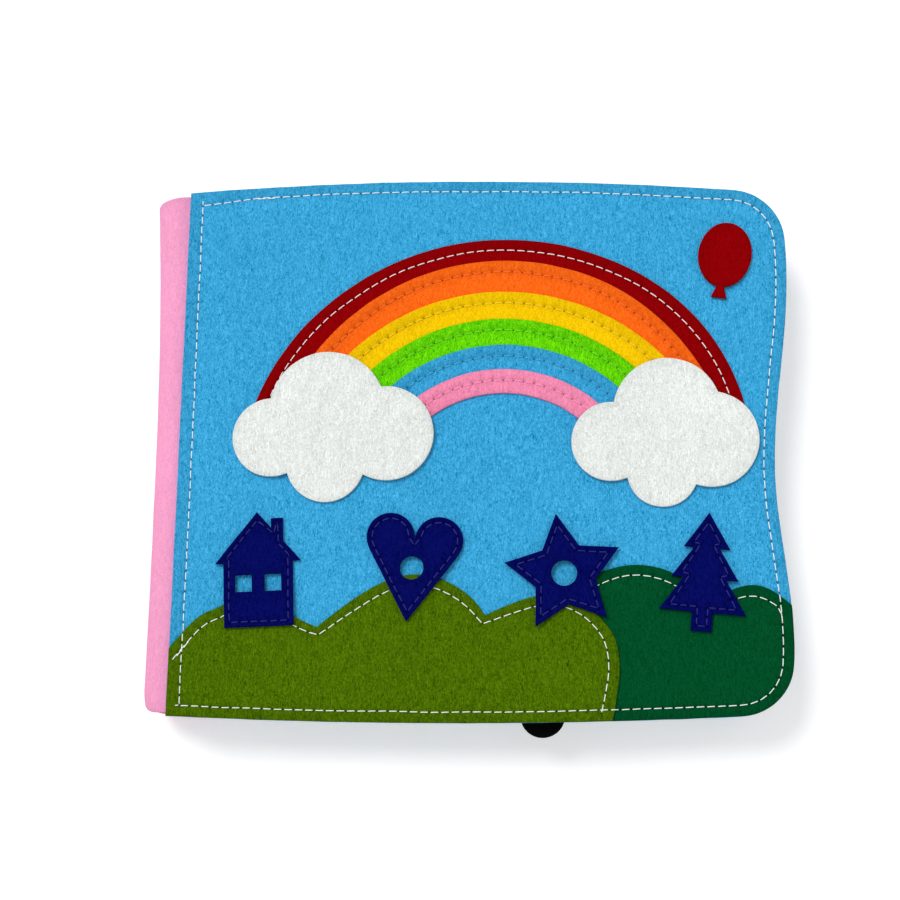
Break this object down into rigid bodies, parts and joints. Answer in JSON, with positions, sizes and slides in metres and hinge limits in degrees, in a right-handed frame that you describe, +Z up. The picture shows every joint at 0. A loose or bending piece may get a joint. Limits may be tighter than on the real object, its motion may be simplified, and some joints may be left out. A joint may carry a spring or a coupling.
{
  "type": "felt busy book",
  "caption": "Closed felt busy book: padded cloth covers with a rainbow, clouds and hills sewn on, a pink cloth spine and felt leaves.",
  "frame": {"origin": "on the back cover's outer face, which the closed book lies on, under the middle of the front cover", "axes": "+X from the spine to the fore-edge, +Y from tail to head, +Z up, out of the front cover"},
  "size_m": [0.254, 0.2217, 0.0336],
  "materials": {
    "blue_felt": "needle-punched felt, matt",
    "pink_felt": "needle-punched felt, matt",
    "white_felt": "needle-punched felt, matt",
    "black_felt": "needle-punched felt, matt",
    "dark_red_felt": "needle-punched felt, matt",
    "orange_felt": "needle-punched felt, matt",
    "yellow_felt": "needle-punched felt, matt",
    "lime_felt": "needle-punched felt, matt",
    "dark_green_felt": "needle-punched felt, matt",
    "olive_felt": "needle-punched felt, matt",
    "navy_felt": "needle-punched felt, matt"
  },
  "bodies": {
    "book_block": {"spine_strip": "pink_felt", "pages": "white_felt", "leaf_disc": "black_felt"},
    "front_cover": {"front_cover_lining": "blue_felt", "front_cover_face": "blue_felt", "rainbow_red": "dark_red_felt", "rainbow_orange": "orange_felt", "rainbow_yellow": "yellow_felt", "rainbow_green": "lime_felt", "rainbow_blue": "blue_felt", "rainbow_pink": "pink_felt", "cloud_left": "white_felt", "cloud_right": "white_felt", "hill_green": "dark_green_felt", "hill_olive": "olive_felt", "house_shape": "navy_felt", "heart_shape": "navy_felt", "star_shape": "navy_felt", "tree_shape": "navy_felt", "balloon_shape": "dark_red_felt"},
    "back_cover": {"back_cover_face": "blue_felt", "back_cover_lining": "blue_felt"}
  },
  "joints": [
    {"name": "front_cover_hinge", "type": "hinge", "parent": "book_block", "child": "front_cover", "pos_m": [-0.125, 0, 0.0285], "axis": [0, -1, 0], "range_deg": [0, 180]},
    {"name": "back_cover_hinge", "type": "hinge", "parent": "book_block", "child": "back_cover", "pos_m": [-0.125, 0, 0.0015], "axis": [0, 1, 0], "range_deg": [0, 180]}
  ]
}
